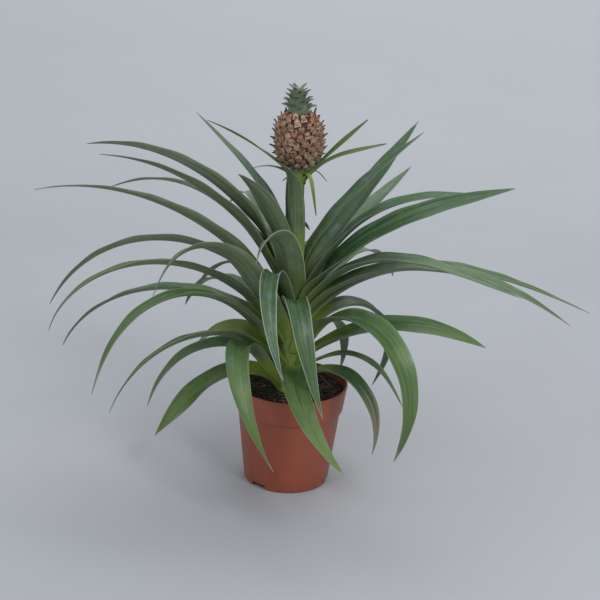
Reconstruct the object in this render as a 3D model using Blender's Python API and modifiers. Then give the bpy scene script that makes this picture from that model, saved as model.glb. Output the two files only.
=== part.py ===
"""A young pineapple plant in a plastic nursery pot: pot, compost, stalk with slips, leaves, fruit and crown.

Units are metres, +Z is up, and the origin is on the pot's axis at the surface that it stands on.
Headings are degrees anticlockwise from +X as seen from above.
"""

import math
import random
from collections import namedtuple

import bmesh
import bpy
from mathutils import Matrix, Quaternion, Vector

MM = 0.001
SEAT = 0.3 * MM  # clearance between two pieces that rest on each other
GOLDEN_ANGLE = 137.508  # degrees from one eye or crown leaf to the next along the spiral

# Pot: a tapered cup, with a tall band at the rim that stands out over a step
RIM_RADIUS = 60 * MM
BAND_FOOT_RADIUS = 56.4 * MM
NECK_RADIUS = 53.9 * MM
BASE_RADIUS = 44.4 * MM
POT_HEIGHT = 109 * MM
BAND_HEIGHT = 27 * MM
STEP_DROP = 2 * MM
FOOT_ROUND = 1.5 * MM
WALL = 1.8 * MM
FLOOR = 2.2 * MM
POT_SIDES = 40
NOTCH_COUNT = 3
NOTCH_HEADING = 231
NOTCH_WIDTH = 17 * MM
NOTCH_HEIGHT = 5.5 * MM
NOTCH_REACH = 5 * MM
DRAIN_COUNT = 6
DRAIN_RADIUS = 4 * MM
DRAIN_CIRCLE = 27 * MM
DRAIN_SIDES = 12

# Compost
SOIL_DROP = 9 * MM  # from the rim down to the compost
SOIL_LUMP = 2.2 * MM
SOIL_SIDES = 26
SOIL_RINGS = 4
SOIL_SEED = 4

# Stalk: (height, radius) from its foot in the compost to the fruit
PLANT_AXIS = Vector((-2 * MM, 0, 0))
STALK_PROFILE = (
    (66 * MM, 10.5 * MM),
    (96 * MM, 12.5 * MM),
    (180 * MM, 12.5 * MM),
    (215 * MM, 11 * MM),
    (232 * MM, 8.5 * MM),
    (245 * MM, 6.5 * MM),
    (331 * MM, 6 * MM),
    (343 * MM, 7 * MM),
)
STALK_SIDES = 18

# Blades
BLADE = 0.8 * MM
LEAF_ROWS = 9
LEAF_COLUMNS = 4
SLIP_ROWS = 5
SLIP_COLUMNS = 2
CROWN_ROWS = 3
STEPS = 120
ROW_CROWDING = 1.2  # above 1 the rows crowd towards the foot
TIP_WIDTH = 1 * MM
CLASP = 54  # how far a leaf's foot reaches round the stalk to either side, in degrees
CHANNEL = ((0.5, 44), (0.8, 30), (1.0, 12))  # (share of the length, channel's half angle)
SHEATH = 32 * MM  # length over which a leaf leaves the stalk
FOOT_SLOPE = ((100 * MM, 52), (240 * MM, 82))  # (height, slope of a leaf's foot)
FOOT_SHARE = 0.16
LEAF_TAPER = (0.3, 2)  # the share where a leaf's taper starts, and its power
SLIP_TAPER = (0.3, 1.5)
LEAN_POWER = 1.4
TWIST_POWER = 1.5
TILT_RUN = (20 * MM, 85 * MM)  # the lengths where the tilt starts and is reached

# Fruit and crown
FRUIT_FOOT = 344 * MM
FRUIT_HEIGHT = 52 * MM
FRUIT_RADIUS = 22.2 * MM
FRUIT_LEAN = -4
FRUIT_POWER = 2.2
FRUIT_END = 8 * MM  # radius of the flat ends where the stalk and the crown meet the fruit
FRUIT_SIDES = 20
FRUIT_RINGS = 10
EYE_COUNT = 92
EYE_RADIUS = 5 * MM
EYE_RISE = 2.4 * MM
EYE_SIDES = 5
EYE_TOP = 0.62  # width of an eye's top over that of its base
EYE_ROOT = 0.6  # how deep an eye is sunk, over its radius
END_EYE = 0.62  # size of the eyes at the fruit's ends over that of those at its middle
PLACE_SLICES = 400
BRACT_LENGTH = 8 * MM
BRACT_WIDTH = 0.62  # over the eye's radius
BRACT_FLATNESS = 0.45
BRACT_DROP = 1.4 * MM
BRACT_TILT = -50
CROWN_LEAVES = 22
CROWN_HEIGHT = 33 * MM
CROWN_RADIUS = 7 * MM
CROWN_SIDES = 12
CROWN_LEAF_LENGTH = (16, 15)  # of the lowest and the topmost, in millimetres
CROWN_LEAF_WIDTH = (9, 6)
CROWN_LEAF_HEIGHT = (3.4, 16)
CROWN_LEAF_RISE = (56, 86)
CROWN_LEAF_FALL = (12, 60)

# A blade's shape. Its slope runs from rise at the foot to fall at the tip: half of that bend is done
# at the share middle of its length, and a higher crisp makes the bend more sudden. On the way its
# heading turns by lean and the blade turns about its own line, early by tilt and late by twist.
Leaf = namedtuple("Leaf", "heading height length width rise fall middle crisp lean twist tilt",
                  defaults=(0.5, 1, 0, 0, 0))

# Heights, lengths and widths in millimetres, angles in degrees, from the lowest leaf up
LEAVES = (
    Leaf(178, 103, 157, 30, 38, -49, 0.26, 1.3, 39, -120, 28),
    Leaf(100, 106, 200, 28, 42, -65),
    Leaf(218, 107, 244, 28, 50, -58, 0.43, 3.5, 142),
    Leaf(318, 109, 170, 26, 45, -103, 0.55, 1.3, 0, -10),
    Leaf(186, 114, 183, 25, 59, -74, 0.43, 1.2, 0, -10),
    Leaf(270, 117, 216, 30, 48, -18, 0.19, 2.8, 40),
    Leaf(149, 120, 117, 30, 47, -50, 0.56, 1.4, 16, 0, -25),
    Leaf(335, 122, 145, 14, 36, -57, 0.54, 1.9),
    Leaf(60, 123, 162, 23, 58, -120, 0.57),
    Leaf(208, 125, 233, 28, 59, -68, 0.48, 1, 0, 10, 20),
    Leaf(125, 128, 240, 28, 56, -60),
    Leaf(209, 131, 294, 31, 60, -74, 0.55, 1.5, 0, 0, 10),
    Leaf(345, 131, 210, 31, 44, -21, 0.54, 1.1, 0, 50),
    Leaf(95, 136, 260, 28, 55, -55),
    Leaf(318, 145, 278, 35, 60, -112, 0.48, 1.4, 0, 15),
    Leaf(170, 146, 281, 31, 61, -70, 0.47, 0.8, 0, 0, 10),
    Leaf(25, 150, 193, 28, 62, -120, 0.47, 1.3),
    Leaf(135, 150, 194, 22, 68, -49, 0.47, 1.9),
    Leaf(196, 155.5, 302, 31, 65, -77, 0.62, 0.9, 3, -12, 22),
    Leaf(60, 159, 250, 28, 56, -55),
    Leaf(222, 161.5, 232, 37, 60, -68, 0.71, 2, -17, 0, 26),
    Leaf(12, 166, 346, 29, 58, -25, 0.28, 1.3),
    Leaf(269, 169.5, 186, 26, 73, -64, 0.31, 3.3, 60),
    Leaf(350, 178, 306, 34, 61, -33, 0.37),
    Leaf(170, 181, 308, 32, 60, -65, 0.48, 1, 0, -20, 30),
    Leaf(338, 185, 262, 31, 56, -12, 0.38, 1.9),
    Leaf(80, 188, 222, 27, 38, -55),
    Leaf(184, 190, 298, 33, 60, -15, 0.55, 0.9, 0, -26, 36),
    Leaf(335, 193, 279, 36, 60, 22, 0.38, 1.4, 0, 10, 26),
    Leaf(110, 195, 250, 28, 60, -40),
    Leaf(241, 196, 192, 21, 59, -56, 0.38, 2.8, 74),
    Leaf(344, 200, 236, 28, 66, 7, 0.54, 1.6, 0, 10, 5),
    Leaf(265, 204, 147, 31, 66, -78, 0.77, 1.9, -44, 0, 40),
    Leaf(150, 206, 262, 26, 55, -26, 0.53, 1.3, 0, 0, 15),
    Leaf(54, 209, 220, 27, 46, 21, 0.1, 3),
    Leaf(174, 216, 242, 32, 57, -1, 0.58, 1.1, 0, -14, 34),
    Leaf(38, 219.5, 209, 34, 42, 46, 0.3, 2.6),
    Leaf(158, 222, 278, 35, 62, -14, 0.5, 1, 0, -28, 52),
    Leaf(96, 225, 110, 15, 66, -40, 0.5, 1.5, -35),
    Leaf(215, 226, 137, 30, 84, 33, 0.62, 0.9, 0, 0, 35),
    Leaf(8, 229.5, 192, 31, 70, 40, 0.35, 0.9),
    Leaf(150, 230, 195, 23, 82, 35, 0.33, 1.8, 0, 0, 15),
    Leaf(262, 232, 140, 23, 87, 33, 0.75, 2.2, -30),
    Leaf(120, 236, 90, 14, 86, 75),
)

# Slips and bracts below the fruit, described as the leaves are
SLIPS = (
    Leaf(175, 329, 107, 9, 43, 17, 0.52, 0.9, 0, 0, 40),
    Leaf(184, 328, 50, 6, 45, -24, 0.54, 1.2, 0, 0, 40),
    Leaf(196, 334, 24, 6, 35, 10, 0.5, 1, 0, 0, 30),
    Leaf(205, 333, 16, 4, 10, -45),
    Leaf(353, 326, 94, 12, 51, 45, 0.56, 1.1, 0, 0, 42),
    Leaf(359, 323, 98, 9, 53, 16, 0.37, 2.2, 0, 0, 40),
    Leaf(24, 327, 37, 7, 53, -48, 0.43, 2.7, 0, 0, 30),
    Leaf(321, 333, 52, 6, 46, -76, 0.16, 2.8),
    Leaf(60, 323, 60, 9, 45, 15),
    Leaf(115, 325, 70, 9, 48, 10),
)


def heading_matrix(heading):
    return Matrix.Rotation(math.radians(heading), 4, "Z")


def material(name, colour, roughness):
    """A plain Principled material."""
    finish = bpy.data.materials.new(name)
    finish.use_nodes = True
    shader = finish.node_tree.nodes["Principled BSDF"]
    shader.inputs["Base Color"].default_value = (*colour, 1)
    shader.inputs["Roughness"].default_value = roughness
    shader.inputs["Metallic"].default_value = 0
    return finish


def collection(name):
    group = bpy.data.collections.new(name)
    bpy.context.scene.collection.children.link(group)
    return group


def mesh_object(name, mesh, group, finish=None):
    thing = bpy.data.objects.new(name, mesh)
    if finish:
        mesh.materials.append(finish)
    group.objects.link(thing)
    return thing


def apply_modifiers(thing):
    """Replaces an object's mesh with the one that its modifiers make."""
    graph = bpy.context.evaluated_depsgraph_get()
    mesh = bpy.data.meshes.new_from_object(thing.evaluated_get(graph))
    thing.modifiers.clear()
    thing.data = mesh


def turned(name, profile, sides, group, finish):
    """A solid of revolution about Z. The profile is (radius, height) down the outer side."""
    mesh = bpy.data.meshes.new(name)
    points = [(radius, 0, height) for radius, height in profile]
    edges = [(index, index + 1) for index in range(len(points) - 1)]
    mesh.from_pydata(points, edges, [])
    thing = mesh_object(name, mesh, group, finish)
    screw = thing.modifiers.new("turn", "SCREW")
    screw.steps = sides
    screw.render_steps = sides
    screw.use_merge_vertices = True
    screw.merge_threshold = 0.01 * MM
    return thing


def cut(thing, group, name):
    """Takes all the cutters in a collection out of an object."""
    boolean = thing.modifiers.new(name, "BOOLEAN")
    boolean.operand_type = "COLLECTION"
    boolean.collection = group
    boolean.operation = "DIFFERENCE"
    boolean.solver = "EXACT"


def fuse(thing, pieces, solver):
    """Joins the closed pieces to an object in one union, and removes them."""
    boolean = thing.modifiers.new("fuse", "BOOLEAN")
    boolean.operand_type = "COLLECTION"
    boolean.collection = pieces
    boolean.operation = "UNION"
    boolean.solver = solver
    bpy.context.view_layer.update()
    apply_modifiers(thing)
    for piece in list(pieces.objects):
        bpy.data.objects.remove(piece)
    bpy.data.collections.remove(pieces)


def between(table, value):
    """Reads a table of (place, amount) by straight lines between its rows."""
    for (low, first), (high, second) in zip(table, table[1:]):
        if value <= high:
            return first + (second - first) * max(0, value - low) / (high - low)
    return table[-1][1]


def stalk_radius(height):
    return between(STALK_PROFILE, height)


def share_bent(share, middle, crisp):
    """How much of a blade's bend is done at a share of its length."""
    if share <= 0 or share >= 1:
        return share
    odds = (1 - share) * middle / (share * (1 - middle))
    return 1 / (1 + odds ** crisp)


def blade_width(share, width, foot_width, taper):
    """A blade widens over its foot, and from the start of its taper it narrows to the tip."""
    if share < FOOT_SHARE:
        return foot_width + (width - foot_width) * math.sin(math.pi / 2 * share / FOOT_SHARE)
    start, power = taper
    narrowing = (max(0, share - start) / (1 - start)) ** power
    return width + (TIP_WIDTH - width) * narrowing


def blade_line(leaf, foot, foot_slope):
    """Closely spaced (middle, direction, sideways) from a blade's foot, at a radius, to its tip."""
    point = Vector((foot, 0, leaf.height * MM))
    point.rotate(Quaternion((0, 0, 1), math.radians(leaf.heading)))
    length = leaf.length * MM
    line = []
    for step in range(STEPS + 1):
        share = step / STEPS
        bent = share_bent(share, leaf.middle, leaf.crisp)
        slope = leaf.rise + (leaf.fall - leaf.rise) * bent
        slope += (foot_slope - leaf.rise) * max(0, 1 - share * length / SHEATH) ** 2
        slope = math.radians(slope)
        heading = math.radians(leaf.heading + leaf.lean * share ** LEAN_POWER)
        ahead = Vector((math.cos(heading), math.sin(heading), 0))
        direction = ahead * math.cos(slope) + Vector((0, 0, math.sin(slope)))
        sideways = Vector((-ahead.y, ahead.x, 0))
        early = min(1, max(0, (share * length - TILT_RUN[0]) / (TILT_RUN[1] - TILT_RUN[0])))
        turn = leaf.tilt * early * early * (3 - 2 * early) + leaf.twist * share ** TWIST_POWER
        sideways.rotate(Quaternion(direction, math.radians(turn)))
        line.append((point.copy(), direction, sideways))
        point += direction * (length / STEPS)
    return line


def blade_rows(leaf, foot, foot_slope, foot_width, taper, rows, columns):
    """Rows of points across a channelled blade, foot to tip."""
    line = blade_line(leaf, foot, foot_slope)
    channel = ((0, min(CLASP, math.degrees(foot_width / 2 / foot))), *CHANNEL)
    grid = []
    for row in range(rows + 1):
        step = round(STEPS * (row / rows) ** ROW_CROWDING)
        share = step / STEPS
        middle, direction, sideways = line[step]
        half_angle = math.radians(between(channel, share))
        radius = blade_width(share, leaf.width * MM, foot_width, taper) / 2 / half_angle
        up = direction.cross(sideways)
        points = []
        for column in range(columns + 1):
            angle = half_angle * (2 * column / columns - 1)
            points.append(middle + sideways * radius * math.sin(angle) + up * radius * (1 - math.cos(angle)))
        grid.append(points)
    return grid


def blade_mesh(name, grid):
    """A sheet through rows of points, split into triangles that both faces of a blade will share."""
    mesh = bpy.data.meshes.new(name)
    sheet = bmesh.new()
    corners = [[sheet.verts.new(point) for point in points] for points in grid]
    columns = len(grid[0]) - 1
    for near, far in zip(corners, corners[1:]):
        for column in range(columns):
            if column < columns / 2:
                sheet.faces.new((near[column], far[column], far[column + 1]))
                sheet.faces.new((near[column], far[column + 1], near[column + 1]))
            else:
                sheet.faces.new((near[column], far[column], near[column + 1]))
                sheet.faces.new((near[column + 1], far[column], far[column + 1]))
    sheet.to_mesh(mesh)
    sheet.free()
    return mesh


def thick_blade(name, grid, group, finish=None):
    """One thin leaf as a closed solid, with its middle face where the grid is."""
    thing = mesh_object(name, blade_mesh(name, grid), group, finish)
    solidify = thing.modifiers.new("thickness", "SOLIDIFY")
    solidify.thickness = BLADE
    solidify.offset = 0
    solidify.use_even_offset = True
    return thing


def leaf_grid(leaf, rows, columns):
    """A leaf that clasps the stalk with its foot."""
    foot = stalk_radius(leaf.height * MM) + SEAT + BLADE / 2
    foot_slope = between(FOOT_SLOPE, leaf.height * MM)
    foot_width = min(leaf.width * MM, 2 * foot * math.radians(CLASP))
    return blade_rows(leaf, foot, foot_slope, foot_width, LEAF_TAPER, rows, columns)


def make_leaves(group, finish):
    for number, leaf in enumerate(LEAVES, 1):
        thing = thick_blade(f"leaf_{number:02d}", leaf_grid(leaf, LEAF_ROWS, LEAF_COLUMNS), group, finish)
        thing.location = PLANT_AXIS


def make_stalk(group, finish):
    """The stem and fruit stalk, with the slips and bracts that grow from it below the fruit."""
    lowest, highest = STALK_PROFILE[0][0], STALK_PROFILE[-1][0]
    profile = [(0, highest)]
    profile += [(radius, height) for height, radius in reversed(STALK_PROFILE)]
    profile.append((0, lowest))
    stalk = turned("stalk", profile, STALK_SIDES, group, finish)
    apply_modifiers(stalk)
    pieces = collection("slips to fuse")
    for slip in SLIPS:
        foot = stalk_radius(slip.height * MM) / 2
        grid = blade_rows(slip, foot, slip.rise, slip.width * MM, SLIP_TAPER, SLIP_ROWS, SLIP_COLUMNS)
        piece = thick_blade("slip", grid, pieces)
        apply_modifiers(piece)
    fuse(stalk, pieces, "EXACT")
    stalk.location = PLANT_AXIS


def fruit_radius(share):
    """Radius of the fruit's core at a share of its height."""
    round_part = (1 - abs(2 * share - 1) ** FRUIT_POWER) ** (1 / FRUIT_POWER)
    return FRUIT_END + (FRUIT_RADIUS - FRUIT_END) * round_part


def ring_share(ring, rings):
    """Shares of the height that crowd towards the fruit's two round ends."""
    return (1 - math.cos(math.pi * ring / rings)) / 2


def fruit_places(count):
    """Even (share of height, heading) places over the fruit's side, along one spiral."""
    heights = [(index + 0.5) / PLACE_SLICES for index in range(PLACE_SLICES)]
    slants = []
    for share in heights:
        half = 0.5 / PLACE_SLICES
        change = (fruit_radius(share + half) - fruit_radius(share - half)) * PLACE_SLICES
        slants.append(fruit_radius(share) * math.hypot(change, FRUIT_HEIGHT))
    total = sum(slants)
    places = []
    covered = 0
    for share, slant in zip(heights, slants):
        covered += slant / total
        while len(places) < count and covered >= (len(places) + 0.5) / count:
            places.append((share, GOLDEN_ANGLE * len(places)))
    return places


def fruit_spot(share, heading):
    """A frame on the fruit's side with its Z axis straight out of the skin and X down the fruit."""
    low, high = max(0, share - 0.01), min(1, share + 0.01)
    slant = math.atan2((high - low) * FRUIT_HEIGHT, fruit_radius(low) - fruit_radius(high))
    spot = Matrix.Translation((fruit_radius(share), 0, share * FRUIT_HEIGHT))
    return heading_matrix(heading) @ spot @ Matrix.Rotation(slant, 4, "Y")


def fruit_frame():
    """The leaning frame that the fruit and crown are made in, with its origin under the fruit."""
    lean = Matrix.Rotation(math.radians(FRUIT_LEAN), 4, "Y")
    return Matrix.Translation(PLANT_AXIS + Vector((0, 0, FRUIT_FOOT))) @ lean


def cone(radius_low, radius_high, depth, sides, place, group):
    """A cone or frustum that stands on its frame's XY plane."""
    mesh = bpy.data.meshes.new("cone")
    solid = bmesh.new()
    bmesh.ops.create_cone(solid, cap_ends=True, cap_tris=False, segments=sides, radius1=radius_low,
                          radius2=radius_high, depth=depth, matrix=Matrix.Translation((0, 0, depth / 2)))
    solid.transform(place)
    solid.to_mesh(mesh)
    solid.free()
    return mesh_object("cone", mesh, group)


def make_fruit(group, finish):
    """The fruit: an oval core that is covered by raised eyes, each with a pointed bract."""
    rings = [ring_share(ring, FRUIT_RINGS) for ring in range(FRUIT_RINGS, -1, -1)]
    profile = [(0, FRUIT_HEIGHT)]
    profile += [(fruit_radius(share), share * FRUIT_HEIGHT) for share in rings]
    profile.append((0, 0))
    fruit = turned("fruit", profile, FRUIT_SIDES, group, finish)
    apply_modifiers(fruit)
    pieces = collection("eyes to fuse")
    for share, heading in fruit_places(EYE_COUNT):
        radius = EYE_RADIUS * (END_EYE + (1 - END_EYE) * math.sin(math.pi * share) ** 0.6)
        place = fruit_spot(share, heading)
        root = EYE_RADIUS * EYE_ROOT
        sunk = Matrix.Translation((0, 0, -root))
        cone(radius, radius * EYE_TOP, root + EYE_RISE, EYE_SIDES, place @ sunk, pieces)
        tilt = Matrix.Rotation(math.radians(BRACT_TILT), 4, "Y")
        flat = Matrix.Diagonal((BRACT_FLATNESS, 1, 1, 1))
        start = Matrix.Translation((0.3 * radius, 0, -BRACT_DROP))
        length = BRACT_LENGTH * radius / EYE_RADIUS
        cone(radius * BRACT_WIDTH, 0, length, 4, place @ start @ tilt @ flat, pieces)
    fuse(fruit, pieces, "MANIFOLD")
    fruit.matrix_world = fruit_frame()


def make_crown(group, finish):
    """The tuft of short stiff leaves on top of the fruit."""
    core_height = CROWN_HEIGHT / 2
    profile = ((0, core_height), (CROWN_RADIUS / 3, core_height), (CROWN_RADIUS, 0), (0, 0))
    crown = turned("crown", profile, CROWN_SIDES, group, finish)
    apply_modifiers(crown)
    pieces = collection("crown leaves to fuse")
    for number in range(CROWN_LEAVES):
        share = number / (CROWN_LEAVES - 1)
        height, length, width, rise, fall = (
            low + (high - low) * share
            for low, high in (CROWN_LEAF_HEIGHT, CROWN_LEAF_LENGTH, CROWN_LEAF_WIDTH,
                              CROWN_LEAF_RISE, CROWN_LEAF_FALL)
        )
        leaf = Leaf(number * GOLDEN_ANGLE, height, length, width, rise, fall)
        foot = CROWN_RADIUS * (0.7 - 0.5 * share)
        grid = blade_rows(leaf, foot, rise, width * MM, SLIP_TAPER, CROWN_ROWS, SLIP_COLUMNS)
        piece = thick_blade("crown leaf", grid, pieces)
        apply_modifiers(piece)
    fuse(crown, pieces, "EXACT")
    crown.matrix_world = fruit_frame() @ Matrix.Translation((0, 0, FRUIT_HEIGHT + SEAT))


def pot_outside(height):
    """Radius of the pot's outer wall at a height."""
    step_top = POT_HEIGHT - BAND_HEIGHT
    side = ((0, BASE_RADIUS), (step_top - STEP_DROP, NECK_RADIUS), (step_top, BAND_FOOT_RADIUS),
            (POT_HEIGHT, RIM_RADIUS))
    return between(side, height)


def make_pot(group, cutters, finish):
    """The pot, with drain holes in its floor and notches at its foot."""
    step_top = POT_HEIGHT - BAND_HEIGHT
    neck = step_top - STEP_DROP
    lip = WALL / 3
    profile = (
        (RIM_RADIUS - WALL, POT_HEIGHT - lip),
        (RIM_RADIUS - WALL + lip, POT_HEIGHT),
        (RIM_RADIUS - lip, POT_HEIGHT),
        (RIM_RADIUS, POT_HEIGHT - lip),
        (BAND_FOOT_RADIUS, step_top + lip),
        (BAND_FOOT_RADIUS - lip, step_top),
        (NECK_RADIUS, neck),
        (BASE_RADIUS, FOOT_ROUND),
        (BASE_RADIUS - FOOT_ROUND, 0),
        (0, 0),
    )
    inside = (
        (0, FLOOR),
        (BASE_RADIUS - WALL, FLOOR),
        (NECK_RADIUS - WALL, neck),
        (BAND_FOOT_RADIUS - WALL, step_top),
        (RIM_RADIUS - WALL, POT_HEIGHT - lip),
    )
    pot = turned("pot", profile + inside, POT_SIDES, group, finish)
    for index in range(NOTCH_COUNT):
        place = heading_matrix(NOTCH_HEADING + 360 * index / NOTCH_COUNT)
        bpy.ops.mesh.primitive_cube_add(size=1)
        notch = bpy.context.object
        notch.name = f"notch cutter {index + 1}"
        reach = 2 * NOTCH_REACH
        size = Matrix.Diagonal((reach, NOTCH_WIDTH, 2 * NOTCH_HEIGHT, 1))
        notch.matrix_world = place @ Matrix.Translation((BASE_RADIUS, 0, 0)) @ size
        keep_as_cutter(notch, cutters)
    for index in range(DRAIN_COUNT):
        heading = math.radians(NOTCH_HEADING + 360 * (index + 0.5) / DRAIN_COUNT)
        place = (DRAIN_CIRCLE * math.cos(heading), DRAIN_CIRCLE * math.sin(heading), 0)
        bpy.ops.mesh.primitive_cylinder_add(vertices=DRAIN_SIDES, radius=DRAIN_RADIUS, depth=4 * FLOOR,
                                            location=place)
        drain = bpy.context.object
        drain.name = f"drain cutter {index + 1}"
        keep_as_cutter(drain, cutters)
    cut(pot, cutters, "drainage")


def keep_as_cutter(thing, cutters):
    """Moves an object to the cutters, which show as wires and aren't part of the plant."""
    for group in list(thing.users_collection):
        group.objects.unlink(thing)
    cutters.objects.link(thing)
    thing.hide_render = True
    thing.display_type = "WIRE"


def make_soil(group, cutters, finish):
    """The compost: it fills the pot, its top is lumpy, and the stalk stands in a hole in it."""
    top = POT_HEIGHT - SOIL_DROP
    step_top = POT_HEIGHT - BAND_HEIGHT
    neck = step_top - STEP_DROP
    gap = WALL + SEAT
    edge = pot_outside(top) - gap
    profile = [(edge * ring / SOIL_RINGS, top) for ring in range(SOIL_RINGS + 1)]
    profile += [
        (BAND_FOOT_RADIUS - gap, step_top + SEAT),
        (NECK_RADIUS - gap, neck + SEAT),
        (BASE_RADIUS - gap, FLOOR + SEAT),
        (0, FLOOR + SEAT),
    ]
    soil = turned("soil", profile, SOIL_SIDES, group, finish)
    apply_modifiers(soil)
    draw = random.Random(SOIL_SEED)
    for vertex in soil.data.vertices:
        if abs(vertex.co.z - top) < SEAT and vertex.co.xy.length < edge - SEAT:
            vertex.co.z += draw.uniform(-1, 1) * SOIL_LUMP
    lowest = STALK_PROFILE[0][0] - SEAT
    hole = [(radius + SEAT, height) for height, radius in reversed(STALK_PROFILE[:3])]
    cutter_profile = [(0, STALK_PROFILE[2][0]), *hole[:-1], (hole[-1][0], lowest), (0, lowest)]
    cutter = turned("stalk hole cutter", cutter_profile, STALK_SIDES, cutters, None)
    cutter.location = PLANT_AXIS
    cutter.hide_render = True
    cutter.display_type = "WIRE"
    cut(soil, cutters, "stalk hole")


def build():
    for thing in list(bpy.data.objects):
        bpy.data.objects.remove(thing)
    plant = collection("potted pineapple plant")
    pot_cutters = collection("pot cutters")
    soil_cutters = collection("soil cutters")
    make_pot(plant, pot_cutters, material("terracotta plastic", (0.36, 0.105, 0.055), 0.5))
    make_soil(plant, soil_cutters, material("compost", (0.03, 0.02, 0.015), 0.95))
    make_stalk(plant, material("stalk green", (0.20, 0.27, 0.11), 0.5))
    make_leaves(plant, material("leaf green", (0.055, 0.13, 0.055), 0.4))
    make_fruit(plant, material("fruit", (0.30, 0.14, 0.06), 0.6))
    make_crown(plant, material("crown green", (0.10, 0.18, 0.12), 0.5))


build()
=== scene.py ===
"""The finished look of a young pineapple plant in a nursery pot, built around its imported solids.

Everything is in metres, +Z is up, and the origin is on the pot's axis at the surface that it stands on.
Headings are degrees anticlockwise from +X as seen from above.
"""

import math
import random
from collections import namedtuple

import bpy
from mathutils import Matrix, Quaternion, Vector, noise


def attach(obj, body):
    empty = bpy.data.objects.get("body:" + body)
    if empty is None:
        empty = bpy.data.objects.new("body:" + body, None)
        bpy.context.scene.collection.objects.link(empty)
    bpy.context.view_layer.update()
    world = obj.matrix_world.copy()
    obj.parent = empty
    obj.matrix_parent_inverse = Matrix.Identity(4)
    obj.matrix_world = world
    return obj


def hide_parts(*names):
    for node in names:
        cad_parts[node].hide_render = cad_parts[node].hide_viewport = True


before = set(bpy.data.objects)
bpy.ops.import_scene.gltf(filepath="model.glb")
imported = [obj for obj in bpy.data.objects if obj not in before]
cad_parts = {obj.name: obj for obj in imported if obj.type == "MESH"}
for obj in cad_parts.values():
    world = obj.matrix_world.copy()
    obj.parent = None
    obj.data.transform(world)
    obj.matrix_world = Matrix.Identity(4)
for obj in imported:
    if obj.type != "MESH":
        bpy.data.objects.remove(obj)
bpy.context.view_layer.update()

MM = 0.001
SEAT = 0.3 * MM
GOLDEN_ANGLE = 137.508

# Pot
RIM_RADIUS = 60 * MM
BAND_FOOT_RADIUS = 56.4 * MM
NECK_RADIUS = 53.9 * MM
BASE_RADIUS = 44.4 * MM
POT_HEIGHT = 109 * MM
BAND_HEIGHT = 27 * MM
STEP_DROP = 2 * MM
FOOT_ROUND = 1.5 * MM
WALL = 1.8 * MM
FLOOR = 2.2 * MM
POT_SIDES = 144
NOTCH_COUNT = 3
NOTCH_HEADING = 231
NOTCH_WIDTH = 17 * MM
NOTCH_HEIGHT = 5.5 * MM
NOTCH_REACH = 5 * MM
DRAIN_COUNT = 6
DRAIN_RADIUS = 4 * MM
DRAIN_CIRCLE = 27 * MM
BAND_TOP = POT_HEIGHT - BAND_HEIGHT
NECK = BAND_TOP - STEP_DROP

# Compost
SOIL_TOP = POT_HEIGHT - 9 * MM
SOIL_SIDES = 120
SOIL_RINGS = 26
CHIP_COUNT = 420
FIBRE_COUNT = 96
FIBRE_POINTS = 8

# Stalk: (height, radius) from its foot in the compost to the fruit
PLANT_AXIS = Vector((-2 * MM, 0, 0))
STALK_PROFILE = (
    (66 * MM, 10.5 * MM),
    (96 * MM, 12.5 * MM),
    (180 * MM, 12.5 * MM),
    (215 * MM, 11 * MM),
    (232 * MM, 8.5 * MM),
    (245 * MM, 6.5 * MM),
    (331 * MM, 6 * MM),
    (343 * MM, 7 * MM),
)
STALK_SIDES = 32

# Blades
LEAF_GRID = (72, 12)  # rows along it and columns across it
STEPS = 240
MIDDLE_THICKNESS = 0.9 * MM
MARGIN_THICKNESS = 0.4  # of the middle's
MARGIN_WIDTH = 1.1 * MM
TIP_WIDTH = 1 * MM
CLASP = 54
CHANNEL = ((0.5, 44), (0.8, 30), (1.0, 12))
SHEATH = 32 * MM
WORN_TIP = 0.7  # what a leaf's thin tip has lost, in millimetres
FOOT_SLOPE = ((100 * MM, 52), (240 * MM, 82))
FOOT_SHARE = 0.16
SLIP_FOOT = 2.1  # width of a slip's foot over that of its blade
SLIP_GRID = (28, 6)
SLIP_CHANNEL = ((0, 54), (0.3, 34), (1, 16))
SLIP_TAPER = (0.3, 1.5)
SMALL_THICKNESS = 0.8 * MM  # of slips and crown leaves
LEAF_TAPER = (0.3, 2)  # the share where it starts, and its power
LEAN_POWER = 1.4
TWIST_POWER = 1.5
TILT_RUN = (20 * MM, 85 * MM)  # the lengths where the tilt starts and is reached
RIPPLE_LENGTH = 46 * MM
RIPPLE_RISE = 0.5 * MM

# Fruit and crown
FRUIT_FOOT = 344 * MM
FRUIT_HEIGHT = 52 * MM
FRUIT_RADIUS = 22.2 * MM
FRUIT_LEAN = -4
FRUIT_POWER = 2.2
FRUIT_END = 8 * MM
FRUIT_SIDES = 64
FRUIT_RINGS = 30
EYE_COUNT = 144
EYE_RADIUS = 4 * MM
EYE_RISE = 1.9 * MM
END_EYE = 0.62
PLACE_SLICES = 400
BRACT_LENGTH = 9.4 * MM
BRACT_WIDTH = 0.4  # half its width, of its length
CROWN_LEAVES = 31
CROWN_HEIGHT = 33 * MM
CROWN_RADIUS = 8.6 * MM
CROWN_SIDES = 24
CROWN_LEAF_LENGTH = (13.5, 15)
CROWN_LEAF_WIDTH = (13, 7.5)
CROWN_LEAF_HEIGHT = (0.5, 17.8)
CROWN_LEAF_RISE = (68, 89)
CROWN_LEAF_FALL = (2, 48)
CROWN_LEAF_GRID = (12, 6)
CROWN_LEAF_CHANNEL = ((0, 52), (0.5, 40), (1, 30))
CROWN_LEAF_TAPER = (0.3, 1.6)

# Studio
STAGE_RADIUS = 2.1
SWEEP_RADIUS = 1.3
SWEEP_STEPS = 16

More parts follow.
